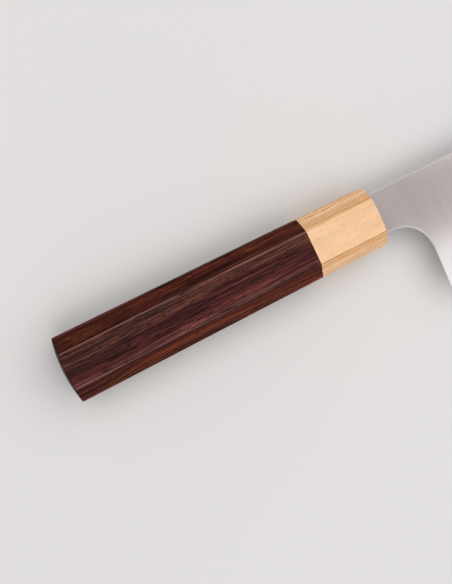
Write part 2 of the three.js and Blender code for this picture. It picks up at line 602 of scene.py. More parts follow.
def draw_layers(nodes: Nodes, given: bpy.types.bpy_prop_collection) -> Socket:
    """Draws growth lines, uneven in spacing, on layers that lie across one direction and wander a little.

    Args:
        nodes: The group's node tree.
        given: The group's inputs.

    Returns:
        A mask that rises to 1 through each layer and drops back behind it.
    """
    uneven_scale, unevenness = 0.45, 1.6
    wander_scale = (0.05, 0.14, 0.14)
    rise, fall = (0.35, 0.8), (0.86, 1.0)
    dot = nodes.add("VectorMath", {0: given["Place"], 1: given["Across"]}, operation="DOT_PRODUCT")
    layer = nodes.over(dot.outputs["Value"], given["Spacing"])
    values = {"W": layer, "Scale": uneven_scale, "Detail": 1.0, "Roughness": 0.5}
    uneven = nodes.add("TexNoise", values, noise_dimensions="1D").outputs["Fac"]
    layer = nodes.plus(layer, nodes.times(uneven, unevenness))
    wander = nodes.minus(nodes.noise(nodes.vector("MULTIPLY", given["Place"], wander_scale)), 0.5)
    share = nodes.math("FRACT", nodes.plus(layer, nodes.times(wander, given["Wobble"])))
    return nodes.times(nodes.remap(share, *rise), nodes.remap(share, *fall, 1.0, 0.0))


def draw_pores(nodes: Nodes, given: bpy.types.bpy_prop_collection) -> Socket:
    """Draws open pores, short lines that run with the fibres.

    Args:
        nodes: The group's node tree.
        given: The group's inputs.

    Returns:
        A mask, 1 in a pore.
    """
    no_pores, rim = 0.78, 0.06
    start = nodes.minus(no_pores, given["Amount"])
    return nodes.remap(nodes.noise(drawn_out(nodes, given), detail=0.0), start, nodes.plus(start, rim))


def new_material(name: str) -> tuple[bpy.types.Material, Nodes, bpy.types.Node]:
    """Starts a material.

    Args:
        name: Its name.

    Returns:
        The material, its node tree and its Principled shader.
    """
    material = bpy.data.materials.new(name)
    material.use_nodes = True
    return material, Nodes(material.node_tree), material.node_tree.nodes["Principled BSDF"]


class RosewoodTone(Enum):
    """The colours of rosewood heartwood, as they display."""

    BLACK = srgb(22, 7, 5)
    DEEP = srgb(51, 18, 12)
    RED_BROWN = srgb(68, 26, 16)
    BROWN = srgb(76, 33, 20)
    ORANGE_BROWN = srgb(94, 42, 25)
    GREY_BROWN = srgb(79, 46, 38)
    PURPLE = srgb(62, 29, 29)
    WINE = srgb(68, 31, 29)
    ROSE = srgb(88, 45, 41)
    GREY_ROSE = srgb(90, 55, 52)
    END_GRAIN = srgb(40, 15, 11)


@dataclass(frozen=True)
class Rosewood:
    """Dark rosewood, oiled and sanded fine: colour zones, bent streaks, black pores, a painted sheen on the
    broad flats and a painted highlight in pale patches on the arrises.

    A Span is a range and what it maps to: of a noise or a place, to a light, a cover or a roughness.
    """

    frame: KnifeFrame
    half_span: float = 13.0
    half_flat: float = 6.9
    # Colours across the handle; on the broad flats the grey and purple tones are partly the wood's own
    # colour and partly a painted sheen.
    zones: tuple[tuple[float, RosewoodTone], ...] = (
        (-12.4, RosewoodTone.BROWN),
        (-11.3, RosewoodTone.ORANGE_BROWN),
        (-10.3, RosewoodTone.ORANGE_BROWN),
        (-9.2, RosewoodTone.RED_BROWN),
        (-8.4, RosewoodTone.BROWN),
        (-7.4, RosewoodTone.DEEP),
        (-6.5, RosewoodTone.GREY_ROSE),
        (-5.2, RosewoodTone.ROSE),
        (-3.6, RosewoodTone.WINE),
        (-1.6, RosewoodTone.PURPLE),
        (0.4, RosewoodTone.PURPLE),
        (2.6, RosewoodTone.GREY_BROWN),
        (6.2, RosewoodTone.GREY_BROWN),
        (7.4, RosewoodTone.DEEP),
        (8.8, RosewoodTone.RED_BROWN),
        (10.2, RosewoodTone.BROWN),
        (12.4, RosewoodTone.RED_BROWN),
    )
    bend: float = 7.0
    bend_scale: Triple = (0.016, 0.06, 0.06)
    broad: Streaks = Streaks(2.4, 34.0, 3.7)
    medium: Streaks = Streaks(0.9, 46.0, 7.3)
    fine: Streaks = Streaks(0.45, 75.0, 9.1)
    broad_light: Span = (0.32, 0.68, 0.84, 1.18)
    medium_light: Span = (0.34, 0.66, 0.62, 1.42)
    fine_light: Span = (0.36, 0.64, 0.52, 1.56)
    flat_contrast: Span = (-125.0, -60.0, 0.8, 1.05)
    side_contrast: float = 1.15
    contrast_blend: float = 0.5
    sheen_strip: tuple[float, float] = (-2.5, 1.0)
    sheen_strip_rim: float = 1.0
    sheen_light: Span = (-125.0, -30.0, -0.14, 0.26)
    long_pores: Pores = Pores(0.5, 64.0, 0.13)
    short_pores: Pores = Pores(0.3, 9.0, 0.13)
    long_pore_shade: float = 0.6
    short_pore_shade: float = 0.75
    highlight_patches: Streaks = Streaks(3.0, 4.0, 5.5)
    highlight_cover: Span = (0.36, 0.6, 0.1, 0.52)
    painted_highlight: Colour = srgb(158, 124, 114)
    end_layers: Layers = Layers((0.0, 0.45, 0.9), 2.4, 2.2)
    end_layer_shade: float = 0.5
    end_cover: Span = (0.15, 0.6, 0.0, 0.85)
    gloss: Span = (0.3, 0.7, 0.37, 0.49)
    pore_roughness: float = 0.25
    fibre_height: float = 0.3
    specular: float = 0.06

    def make(self) -> bpy.types.Material:
        """Builds the material.

        Returns:
            The material.
        """
        material, nodes, shader = new_material("rosewood")
        grain = self._bent_grain(nodes)
        fine = nodes.group(Effect.STREAKS, grain, *self.fine)
        colour = self._heartwood(nodes, grain, fine)
        colour = self._end_grain(nodes, grain, colour)
        black = RosewoodTone.BLACK.value
        long_pore = nodes.group(Effect.PORES, grain, *self.long_pores)
        colour = nodes.stain(colour, long_pore, self.long_pore_shade, black)
        pore = nodes.group(Effect.PORES, grain, *self.short_pores)
        colour = nodes.stain(colour, pore, self.short_pore_shade, black)
        # Painted highlight: the arrises are painted pale in patches, strongest on the spine side.
        patches = nodes.group(Effect.STREAKS, grain, *self.highlight_patches)
        arris_highlight = nodes.times(nodes.attribute("arris"), nodes.remap(patches, *self.highlight_cover))
        gloss = nodes.remap(fine, *self.gloss)
        height = nodes.minus(nodes.times(fine, self.fibre_height), pore)
        looks = {
            "Base Color": nodes.blend(arris_highlight, colour, self.painted_highlight),
            "Roughness": nodes.plus(gloss, nodes.times(pore, self.pore_roughness)),
            "Normal": nodes.bump(height, strength=0.2, depth=0.05),
            "Specular IOR Level": self.specular,
        }
        nodes.fill(shader, looks)
        return material

    def _bent_grain(self, nodes: Nodes) -> Socket:
        """Bends the place on the handle from side to side, so that what follows it wanders as fibres do.

        Args:
            nodes: The material's node tree.

        Returns:
            The bent place in millimetres.
        """
        place = nodes.place(self.frame.place(0.0))
        wander = nodes.noise(nodes.vector("MULTIPLY", place, self.bend_scale), detail=1.0)
        shift = nodes.times(nodes.minus(wander, 0.5), self.bend)
        return nodes.vector("ADD", place, nodes.joined(0.0, shift, shift))

    def _heartwood(self, nodes: Nodes, grain: Signal, fine: Signal) -> Socket:
        """Colours the wood by zones across the handle, lightens or darkens it in streaks and paints a sheen
        on the broad flats.

        Args:
            nodes: The material's node tree.
            grain: The bent place.
            fine: The finest streaks.

        Returns:
            The colour without end grain, pores and the painted arris highlight.
        """
        place = nodes.axes(grain)
        span = 2 * self.half_span
        stops = [((up + self.half_span) / span, tone.value) for up, tone in self.zones]
        colour = nodes.ramp(nodes.over(nodes.plus(place["Y"], self.half_span), span), stops)
        broad = nodes.group(Effect.STREAKS, grain, *self.broad)
        medium = nodes.group(Effect.STREAKS, grain, *self.medium)
        light = nodes.times(nodes.remap(broad, *self.broad_light), nodes.remap(medium, *self.medium_light))
        light = nodes.times(light, nodes.remap(fine, *self.fine_light))
        on_flats = nodes.remap(place["X"], *self.flat_contrast)
        off_axis = nodes.math("ABSOLUTE", place["Y"])
        start, end = self.half_flat - self.contrast_blend, self.half_flat + self.contrast_blend
        contrast = nodes.remap(off_axis, start, end, on_flats, self.side_contrast)
        light = nodes.plus(1.0, nodes.times(nodes.minus(light, 1.0), contrast))
        # Painted sheen: a paler strip on the broad flats, brighter towards the ferrule and darker towards
        # the butt.
        in_strip = nodes.remap(place["Y"], *self.sheen_strip)
        in_strip = nodes.remap(place["Y"], self.half_flat - self.sheen_strip_rim, self.half_flat, in_strip, 0.0)
        painted_sheen = nodes.times(in_strip, nodes.remap(place["X"], *self.sheen_light))
        return nodes.lit(colour, nodes.times(light, nodes.plus(1.0, painted_sheen)))

    def _end_grain(self, nodes: Nodes, grain: Signal, colour: Signal) -> Socket:
        """Darkens the wood where it is cut across the fibres, with its growth layers showing.

        Args:
            nodes: The material's node tree.
            grain: The bent place.
            colour: The wood's colour along the fibres.

        Returns:
            The colour with its end grain.
        """
        layers = nodes.group(Effect.LAYERS, grain, *self.end_layers)
        end_tone, black = RosewoodTone.END_GRAIN.value, RosewoodTone.BLACK.value
        cut = nodes.stain(end_tone, layers, self.end_layer_shade, black)
        return nodes.blend(nodes.remap(nodes.attribute("end_grain"), *self.end_cover), colour, cut)


@dataclass(frozen=True)
class PaleWood:
    """Pale fine hardwood, flat-sawn: flecked on the broad flats, lined by its growth layers elsewhere."""

    frame: KnifeFrame
    half_thickness: float = 9.4
    flat: Colour = srgb(241, 200, 161)
    fleck: Colour = srgb(230, 180, 130)
    line: Colour = srgb(178, 120, 66)
    end: Colour = srgb(196, 148, 102)
    pore: Colour = srgb(206, 146, 88)
    sides: tuple[tuple[float, Colour], ...] = (
        (0.0, srgb(232, 189, 146)),
        (0.45, srgb(236, 195, 155)),
        (0.68, srgb(240, 201, 161)),
        (0.80, srgb(232, 184, 134)),
        (0.95, srgb(230, 182, 134)),
    )
    flecks: Streaks = Streaks(0.3, 12.0, 1.3)
    clouds: Streaks = Streaks(3.5, 3.0, 6.2)
    layers: Layers = Layers((0.0, 0.04, 1.0), 0.8, 0.9)
    pores: Pores = Pores(0.16, 12.0, 0.08)
    fleck_cover: Span = (0.32, 0.55, 0.65, 0.0)
    line_cover: Span = (0.35, 0.65, 0.55, 1.0)
    cloud_light: Span = (0.35, 0.65, 0.955, 1.04)
    pore_shade: float = 0.4
    end_cover: Span = (0.3, 0.9, 0.0, 0.5)
    gloss: Span = (0.3, 0.7, 0.45, 0.56)
    layer_height: float = 0.4
    specular: float = 0.15

    def make(self) -> bpy.types.Material:
        """Builds the material.

        Returns:
            The material.
        """
        material, nodes, shader = new_material("pale_wood")
        grain = nodes.place(self.frame.place(0.0))
        flecks = nodes.group(Effect.STREAKS, grain, *self.flecks)
        clouds = nodes.group(Effect.STREAKS, grain, *self.clouds)
        layers = nodes.group(Effect.LAYERS, grain, *self.layers)
        pore = nodes.group(Effect.PORES, grain, *self.pores)
        sawn = nodes.blend(nodes.remap(flecks, *self.fleck_cover), self.flat, self.fleck)
        depth = nodes.math("ABSOLUTE", nodes.axes(grain)["Z"])
        lined = nodes.ramp(nodes.over(depth, self.half_thickness), self.sides)
        broken = nodes.times(layers, nodes.remap(flecks, *self.line_cover))
        lined = nodes.blend(broken, lined, self.line)
        colour = nodes.blend(nodes.attribute("flat_sawn"), lined, sawn)
        colour = nodes.lit(colour, nodes.remap(clouds, *self.cloud_light))
        colour = nodes.stain(colour, pore, self.pore_shade, self.pore)
        cut_across = nodes.remap(nodes.attribute("end_grain"), *self.end_cover)
        height = nodes.minus(nodes.times(layers, self.layer_height), pore)
        looks = {
            "Base Color": nodes.blend(cut_across, colour, self.end),
            "Roughness": nodes.remap(flecks, *self.gloss),
            "Normal": nodes.bump(height, strength=0.1, depth=0.04),
            "Specular IOR Level": self.specular,
        }
        nodes.fill(shader, looks)
        return material


@dataclass(frozen=True)
class SatinSteel:
    """Satin steel, finished with fine lines from the spine to the cutting edge."""

    base: Colour = (0.62, 0.595, 0.596)
    line_scale: Triple = (4.2, 0.02, 0.2)
    wisp_scale: Triple = (1.2, 0.009, 0.06)
    light: Span = (0.3, 0.7, 0.988, 1.012)
    gloss: Span = (0.3, 0.7, 0.17, 0.19)
    anisotropy: float = 0.75

    def make(self) -> bpy.types.Material:
        """Builds the material.

        Returns:
            The material.
        """
        material, nodes, shader = new_material("satin_steel")
        place = nodes.place()
        lines = nodes.noise(nodes.vector("MULTIPLY", place, self.line_scale), roughness=0.6)
        wisps = nodes.noise(nodes.vector("MULTIPLY", place, self.wisp_scale))
        tone = nodes.over(nodes.plus(lines, wisps), 2.0)
        tangent = nodes.add("Tangent", {}, direction_type="UV_MAP", uv_map="lengthwise")
        looks = {
            "Base Color": nodes.lit(self.base, nodes.remap(tone, *self.light)),
            "Roughness": nodes.remap(tone, *self.gloss),
            "Normal": nodes.bump(lines, strength=0.015, depth=0.01),
            "Tangent": tangent.outputs[0],
            "Metallic": 1.0,
            "Anisotropic": self.anisotropy,
        }
        nodes.fill(shader, looks)
        return material


@dataclass(frozen=True)
class DowelWood:
    """Raw turned hardwood, as on a dowel that is glued in."""

    early_wood: Colour = srgb(214, 178, 132)
    late_wood: Colour = srgb(178, 138, 92)
    fibre: Colour = srgb(164, 122, 80)
    layers: Layers = Layers((0.0, 0.5, 0.87), 1.1, 1.5)
    fibres: Streaks = Streaks(0.3, 30.0, 4.4)
    fibre_cover: Span = (0.35, 0.55, 0.4, 0.0)
    gloss: Span = (0.3, 0.7, 0.62, 0.78)

    def make(self) -> bpy.types.Material:
        """Builds the material.

        Returns:
            The material.
        """
        material, nodes, shader = new_material("dowel_wood")
        place = nodes.place()
        fibres = nodes.group(Effect.STREAKS, place, *self.fibres)
        layers = nodes.group(Effect.LAYERS, place, *self.layers)
        wood = nodes.blend(layers, self.early_wood, self.late_wood)
        looks = {
            "Base Color": nodes.blend(nodes.remap(fibres, *self.fibre_cover), wood, self.fibre),
            "Roughness": nodes.remap(fibres, *self.gloss),
            "Normal": nodes.bump(fibres, strength=0.3, depth=0.05),
        }
        nodes.fill(shader, looks)
        return material


@dataclass(frozen=True)
class BeddingResin:
    """Dark amber resin, poured round the tang, cloudy and slightly dimpled."""

    clouds: tuple[tuple[float, Colour], ...] = ((0.3, srgb(88, 58, 36)), (0.7, srgb(118, 82, 52)))
    cloud_scale: float = 0.6
    dimple_scale: float = 2.5
    gloss: Span = (0.3, 0.7, 0.22, 0.4)

    def make(self) -> bpy.types.Material:
        """Builds the material.

        Returns:
            The material.
        """
        material, nodes, shader = new_material("bedding_resin")
        place = nodes.place()
        clouds = nodes.noise(place, self.cloud_scale, detail=3.0)
        dimples = nodes.noise(place, self.dimple_scale, detail=1.0)
        looks = {
            "Base Color": nodes.ramp(clouds, self.clouds),
            "Roughness": nodes.remap(clouds, *self.gloss),
            "Normal": nodes.bump(dimples, strength=0.3, depth=0.05),
        }
        nodes.fill(shader, looks)
        return material


@dataclass
class Handle:
    """The octagonal handle on one even taper: the rosewood body behind and the pale ferrule in front.

    Turns are degrees. Tilts are how far a face looks along one axis, from 0 to 1.
    """

    frame: KnifeFrame
    length: float = 130.05
    ferrule_length: float = FERRULE_LENGTH
    front_width: float = 23.9
    front_thickness: float = 18.4
    front_corner: float = 5.2
    butt_width: float = 25.5
    butt_thickness: float = 20.0
    butt_corner: float = 6.0
    butt_dome: float = 1.63
    butt_round: float = 0.4
    front_dome: float = 1.0
    front_round: float = 0.25
    arris_ease: float = 0.2
    rim_cuts: int = 5
    dome_rings: tuple[float, ...] = (0.85, 0.82, 0.78, 0.7, 0.5)
    dome_margin: float = 0.05
    bore_radius: float = 6.857
    bore_front: float = -7.0
    bore_end: float = -103.8
    slot_height: float = 12.0
    slot_thickness: float = 4.2
    cutter_reach: float = 4.0
    facet_turn: float = 45.0
    arris_turn: float = 4.0
    highlight_turn: float = 3.0
    end_tilt: float = 0.1
    flat_tilt: float = 0.98
    # How strong the painted highlight is on the arrises, by side.
    spine_side_highlight: float = 1.0
    edge_side_highlight: float = 0.55
    narrow_side_highlight: float = 0.15

    def section(self, along: float) -> Triple:
        """Gives the octagon at a place along the handle.

        Args:
            along: Millimetres from the ferrule's front rim, negative towards the butt.

        Returns:
            Half its width, half its thickness and how far its corners are cut off.
        """
        share = -along / self.length
        width = lerp(self.front_width, self.butt_width, share)
        thickness = lerp(self.front_thickness, self.butt_thickness, share)
        return width / 2, thickness / 2, lerp(self.front_corner, self.butt_corner, share)

    def octagon_blank(self, name: str, rear: float, front: float) -> Piece:
        """Cuts the four corners off a squared and tapered length of the handle.

        Args:
            name: The piece's name.
            rear: Where it starts, in millimetres along the knife.
            front: Where it ends.

        Returns:
            The octagonal blank.
        """
        rear_size, front_size = ([2 * half for half in self.section(end)[:2]] for end in (rear, front))
        blank = self.frame.block(name, rear, front, rear_size, front_size)
        with editing(blank):
            for spine_side in (1, -1):
                for upper_side in (1, -1):
                    self._cut_corner(rear, front, spine_side, upper_side)
        return blank

    def _cut_corner(self, rear: float, front: float, spine_side: int, upper_side: int) -> None:
        """Cuts one corner off the blank in edit mode.

        Args:
            rear: Where the blank starts.
            front: Where it ends.
            spine_side: 1 on the side of the spine, -1 on that of the cutting edge.
            upper_side: 1 above the blade's mid-plane, -1 below it.
        """

        def corner(along: float, from_top: bool) -> Vector:
            """Finds where the cut meets the top or the side of the blank.

            Args:
                along: Millimetres along the knife.
                from_top: Whether it is the top.

            Returns:
                The point in metres.
            """
            width, thickness, cut = self.section(along)
            up = width - cut if from_top else width
            out = thickness if from_top else thickness - cut
            return self.frame.place(along, spine_side * up, upper_side * out)

        first = corner(rear, True)
        normal = (corner(rear, False) - first).cross(corner(front, True) - first).normalized()
        if normal.z * upper_side < 0:
            normal.negate()
        trim(first, normal)

    def shape_end(self, blank: Piece, end: float, rounding: float, dome: float) -> None:
        """Rounds the rim of one end of a blank and its long arrises, then domes that end.

        Args:
            blank: The octagonal blank.
            end: The end to shape, in millimetres along the knife.
            rounding: The rim's rounding.
            dome: How far the end's middle rises beyond its outermost corners.
        """
        centre = self.frame.place(end)

        def at_end(element: Union[bmesh.types.BMEdge, bmesh.types.BMFace]) -> bool:
            """Says whether an edge or a face lies in the end's plane."""
            return all(abs(vert.co.x - centre.x) < SAME_PLACE * MM for vert in element.verts)

        with editing(blank):
            choose(blank, Part.EDGES, at_end)
            bpy.ops.mesh.subdivide(number_cuts=self.rim_cuts)
            choose(blank, Part.FACES, at_end)
            for share in self.dome_rings:
                bpy.ops.mesh.extrude_region_move(TRANSFORM_OT_translate={"value": (0.0, 0.0, 0.0)})
                bpy.ops.transform.resize(value=(1.0, share, share), center_override=centre)
            choose(blank, Part.EDGES, lambda edge: at_end(edge) and not all(map(at_end, edge.link_faces)))
            round_edges(rounding)
            choose(blank, Part.EDGES, self._is_arris)
            round_edges(self.arris_ease)
            self._raise_dome(blank, end, rounding, dome)

    def _is_arris(self, edge: bmesh.types.BMEdge) -> bool:
        """Says whether an edge runs along the handle between two flats that meet at an angle."""
        lengthwise = abs(edge.verts[0].co.x - edge.verts[1].co.x) > SAME_PLACE * MM
        return lengthwise and edge.calc_face_angle(0.0) > math.radians(self.arris_turn)

    def _reach(self, along: float) -> float:
        """How far the outermost corners of the octagon are from the handle's axis, in millimetres."""
        half_width, half_thickness, corner = self.section(along)
        return math.hypot(half_width, half_thickness - corner)

    def _raise_dome(self, blank: Piece, end: float, rounding: float, dome: float) -> None:
        """Moves the vertices of one rounded end out along the handle onto a dome.

        Args:
            blank: The blank in edit mode.
            end: The end, in millimetres along the knife.
            rounding: The rim's rounding.
            dome: How far the end's middle rises beyond its outermost corners.
        """
        centre = self.frame.place(end)
        reach = self._reach(end) * MM
        outwards = math.copysign(1.0, end + self.length / 2)
        for vert in bmesh.from_edit_mesh(blank.data).verts:
            if abs(vert.co.x - centre.x) < (rounding + self.dome_margin) * MM:
                off_axis = math.hypot(vert.co.y - centre.y, vert.co.z - centre.z)
                vert.co.x += outwards * dome * MM * (1 - (off_axis / reach) ** 2)
        bmesh.update_edit_mesh(blank.data)

    def front_at(self, up: float) -> float:
        """How far the ferrule's domed front stands out at a height on the blade's mid-plane."""
        return self.front_dome * (1 - (up / self._reach(0.0)) ** 2)

    def bore(self, piece: Piece, rear: float, front: float) -> None:
        """Drills the dowel's bore between two places along the knife."""
        combine(piece, self.frame.rod("drill", rear, front, self.bore_radius), Joining.CUT)

    def mark_faces(self, piece: Piece) -> None:
        """Marks the painted highlight on the arrises, the broad sawn flats and how far each face shows end
        grain.

        Args:
            piece: A finished piece of the handle.
        """
        marks = {
            "arris": self._arris_highlight_level,
            "flat_sawn": lambda face: float(abs(face.normal.z) > self.flat_tilt),
            "end_grain": lambda face: abs(face.normal.x),
        }
        for name, mark in marks.items():
            levels = [mark(face) for face in piece.data.polygons]
            piece.data.attributes.new(name, "FLOAT", "FACE").data.foreach_set("value", levels)

    def _arris_highlight_level(self, face: bpy.types.MeshPolygon) -> float:
        """Says how strong the painted highlight on an arris is: most beside the broad flats, on the side of
        the spine.

        Args:
            face: A face of the handle.

        Returns:
            The painted highlight from 0 to 1, with 0 on the facets and the ends.
        """
        around = math.degrees(math.atan2(face.normal.z, face.normal.y)) % self.facet_turn
        off_facet = min(around, self.facet_turn - around)
        if off_facet <= self.highlight_turn or abs(face.normal.x) >= self.end_tilt:
            return 0.0
        if abs(face.normal.z) <= abs(face.normal.y):
            return self.narrow_side_highlight
        return self.spine_side_highlight if face.center.y > self.frame.axis_y else self.edge_side_highlight

    def build_body(self) -> Piece:
        """Builds the rosewood body with its domed butt.

        Returns:
            The body.
        """
        body = self.octagon_blank("rosewood_body", -self.length, -self.ferrule_length)
        self.shape_end(body, -self.length, self.butt_round, self.butt_dome)
        self.bore(body, self.bore_end, -self.ferrule_length + self.cutter_reach)
        smooth(body)
        self.mark_faces(body)
        stand_for(body, Rosewood(self.frame).make(), "handle_body")
        return body

    def build_ferrule(self) -> Piece:
        """Builds the pale ferrule, bored from behind and slotted in front for the tang.

        Returns:
            The ferrule.
        """
        ferrule = self.octagon_blank("pale_ferrule", -self.ferrule_length, 0.0)
        self.shape_end(ferrule, 0.0, self.front_round, self.front_dome)
        self.bore(ferrule, -self.ferrule_length - self.cutter_reach, self.bore_front)
        slot_size = (self.slot_height, self.slot_thickness)
        rear, front = self.bore_front - self.cutter_reach, self.cutter_reach
        combine(ferrule, self.frame.block("slot_chisel", rear, front, slot_size), Joining.CUT)
        smooth(ferrule)
        self.mark_faces(ferrule)
        stand_for(ferrule, PaleWood(self.frame).make(), "ferrule")
        return ferrule


@dataclass
class Blade:
    """The blade with its neck and tang, drawn out of a strip of steel at the heel, row by row.

    A ring is a cut across the blade and a row a line along it. Each vertex keeps the numbers of both.
    """

    frame: KnifeFrame
    handle: Handle
    spine_height: float = 8.5
    neck_depth: float = 8.5
    heel_offset: float = 18.6
    heel_radius: float = 13.2
    heel_lean: float = 0.4
    height: float = 50.0
    length: float = 178.0
    flat_edge: float = 60.0
    tip_rise: float = 8.0
    straight_spine: float = 102.0
    blank_thickness: float = 2.2
    tip_thickness: float = 2.0
    grind_thickness: float = 0.36
    grind_start: float = 2.0
    sharpened: float = 0.7
    bevel_share: float = 0.85
    edge_land: float = 0.03
    point_taper: float = 0.2
    shoulder_gap: float = 0.12
    tang_root: float = 10.0
    tang_end: float = 6.0
    tang_length: float = 92.0
    ease: float = 0.32
    ease_of_half: float = 0.75
    ease_of_row: float = 0.4
    least_ease: float = 0.01
    weld: float = 0.001
    sharp_turn: float = 24.0
    neck_rows: int = 8
    lower_rows: int = 6
    fillet_steps: int = 14
    straight_places: tuple[float, ...] = (2.5, 6.0, 12.0, 20.0, 30.0, 42.0, 55.0, 68.0, 80.0, 92.0)
    spine_steps: int = 36
    tip_crowding: float = 1.6
    tip_cut: float = 0.1
    first_pull: float = 0.1

    def __post_init__(self) -> None:
        """Works out the places that follow from the sizes."""
        self.edge_line = self.spine_height - self.height
        self.heel_corner = self.heel_offset - self.heel_lean
        self.heel_top = -self.neck_depth - self.heel_radius
        self.tip_x = self.heel_corner + self.length
        self.tip_y = self.edge_line + self.tip_rise
        self.belly_start = self.heel_corner + self.flat_edge
        self.drop_start = self.heel_offset + self.straight_spine
        self.spine_arc = self.run_off(self.tip_x - self.drop_start, self.spine_height - self.tip_y)
        self.belly_arc = self.run_off(self.tip_x - self.belly_start, self.tip_rise)
        self.last_row = self.neck_rows + self.lower_rows + 1

    @staticmethod
    def run_off(along: float, off: float) -> float:
        """Radius of the arc that leaves a straight line and ends so far along and so far off it."""
        return (along * along + off * off) / (2 * off)

    def spine_at(self, along: float) -> float:
        """Height of the spine at a place along the knife."""
        past = max(0.0, along - self.drop_start)
        return self.spine_height - self.spine_arc + math.sqrt(self.spine_arc**2 - past**2)

    def edge_at(self, along: float) -> float:
        """Height of the cutting edge at a place along the knife."""
        past = max(0.0, along - self.belly_start)
        return self.edge_line + self.belly_arc - math.sqrt(self.belly_arc**2 - past**2)

    def height_at(self, along: float) -> float:
        """Height of the blade between its spine and its cutting edge."""
        return self.spine_at(along) - self.edge_at(along)

    def bevel_at(self, along: float) -> float:
        """Height of the sharpened bevel, which runs out where the spine comes down to the tip."""
        return min(self.sharpened, self.bevel_share * self.height_at(along))

    def half_at(self, along: float, up: float) -> float:
        """Half the ground thickness at a place on the blade's face.

        Args:
            along: Millimetres along the knife.
            up: Millimetres towards the spine.

        Returns:
            Half the thickness in millimetres.
        """
        share = min(1.0, max(0.0, (along - self.grind_start) / (self.heel_corner - self.grind_start)))
        ground = share * share * (3 - 2 * share)
        beyond = max(0.0, along - self.heel_corner) / self.length
        taper = (self.blank_thickness - self.tip_thickness) * beyond
        edge = lerp(self.blank_thickness, self.grind_thickness, ground) - taper
        spine = self.blank_thickness - taper
        down = (self.spine_height - up) / self.height
        at_point = self.point_taper * self.height_at(along) + self.edge_land / 2
        return min(max(lerp(spine, edge, down), self.edge_land) / 2, at_point)

    def heel_ring(self) -> Ring:
        """Lays out the rows of the heel.

        Returns:
            Their places, from the spine down to the cutting edge.
        """
        bevel_line = self.edge_line + self.sharpened
        ups = evenly(self.spine_height, self.heel_top, self.neck_rows)
        ups += evenly(self.heel_top, bevel_line, self.lower_rows)[1:] + [self.edge_line]
        lean = self.heel_lean / (self.heel_top - self.edge_line)
        return [(self.heel_offset - lean * max(0.0, self.heel_top - up), up) for up in ups]

    def ring_at(self, along: float) -> Ring:
        """Lays out the rows across the blade in front of the heel.

        Args:
            along: Millimetres along the knife.

        Returns:
            Their places, from the spine down to the cutting edge.
        """
        top, bottom = self.spine_at(along), self.edge_at(along)
        bevel_line = bottom + self.bevel_at(along)
        heel = [up for _, up in self.heel_ring()[:-1]]
        shares = [(heel[0] - up) / (heel[0] - heel[-1]) for up in heel]
        return [(along, lerp(top, bevel_line, share)) for share in shares] + [(along, bottom)]

    def forward_rings(self) -> list[Ring]:
        """Lays out the rings in front of the heel.

        Returns:
            The rings, in order to the tip.
        """
        places = [self.heel_offset + step for step in self.straight_places]
        sweep = math.asin((self.tip_x - self.drop_start) / self.spine_arc)
        for share in evenly(1.0, 0.0, self.spine_steps):
            angle = sweep * (1 - share**self.tip_crowding)
            places.append(self.drop_start + self.spine_arc * math.sin(angle))
        places[-1] -= self.tip_cut
        return [self.ring_at(place) for place in places]

    def neck_ring(self, along: float, top: float, bottom: float) -> Ring:
        """The rows of the neck or the tang between two heights."""
        return [(along, up) for up in evenly(top, bottom, self.neck_rows)]

    def shoulder_ring(self, top: float, bottom: float) -> Ring:
        """The rows close in front of the ferrule's dome, between two heights."""
        ups = evenly(top, bottom, self.neck_rows)
        return [(self.handle.front_at(up) + self.shoulder_gap, up) for up in ups]

    def neck_rings(self) -> list[Ring]:
        """Lays out the rings round the fillet behind the heel and along the neck.

        Returns:
            The rings, in order to the ferrule.
        """
        rings = []
        for angle in evenly(0.0, math.pi / 2, self.fillet_steps)[1:]:
            along = self.heel_offset - self.heel_radius * (1 - math.cos(angle))
            bottom = self.heel_top + self.heel_radius * math.sin(angle)
            rings.append(self.neck_ring(along, self.spine_height, bottom))
        rings.append(self.neck_ring(self.grind_start, self.spine_height, -self.neck_depth))
        rings.append(self.shoulder_ring(self.spine_height, -self.neck_depth))
        return rings

    def tang_rings(self) -> list[Ring]:
        """The rings of the tang, from the shoulders back to its end."""
        root, end = self.tang_root / 2, self.tang_end / 2
        return [self.shoulder_ring(root, -root), self.neck_ring(-self.tang_length, end, -end)]

    @staticmethod
    def numbers(mesh: bmesh.types.BMesh) -> tuple[bmesh.types.BMLayerItem, bmesh.types.BMLayerItem]:
        """Gives the layers that keep the numbers of each vertex's row and ring."""
        return mesh.verts.layers.int["row"], mesh.verts.layers.int["ring"]

    def heel_strip(self) -> Piece:
        """Lays out the strip of faces at the heel that the blade is drawn out of.

        Returns:
            The strip.
        """
        bpy.ops.object.select_all(action="DESELECT")
        bpy.ops.mesh.primitive_plane_add(
            size=1.0,
            location=self.frame.place(self.heel_offset, self.spine_height - self.height / 2),
            rotation=(0.0, math.pi / 2, 0.0),
        )
        bpy.context.object.scale = (self.blank_thickness * MM, self.height * MM, 1.0)
        strip = christen("satin_blade")
        ring = self.heel_ring()
        with editing(strip):
            for _, up in ring[1:-1]:
                choose_all()
                row_place = self.frame.place(self.heel_offset, up)
                bpy.ops.mesh.bisect(plane_co=row_place, plane_no=(0.0, 1.0, 0.0))
            mesh = bmesh.from_edit_mesh(strip.data)
            for name in ("row", "ring"):
                mesh.verts.layers.int.new(name)
            row_layer, _ = self.numbers(mesh)
            for vert in mesh.verts:
                up = (vert.co.y - self.frame.axis_y) / MM
                vert[row_layer] = min(range(len(ring)), key=lambda row: abs(ring[row][1] - up))
            bmesh.update_edit_mesh(strip.data)
            choose_all()
            self.seat(strip, ring, 0)
        return strip

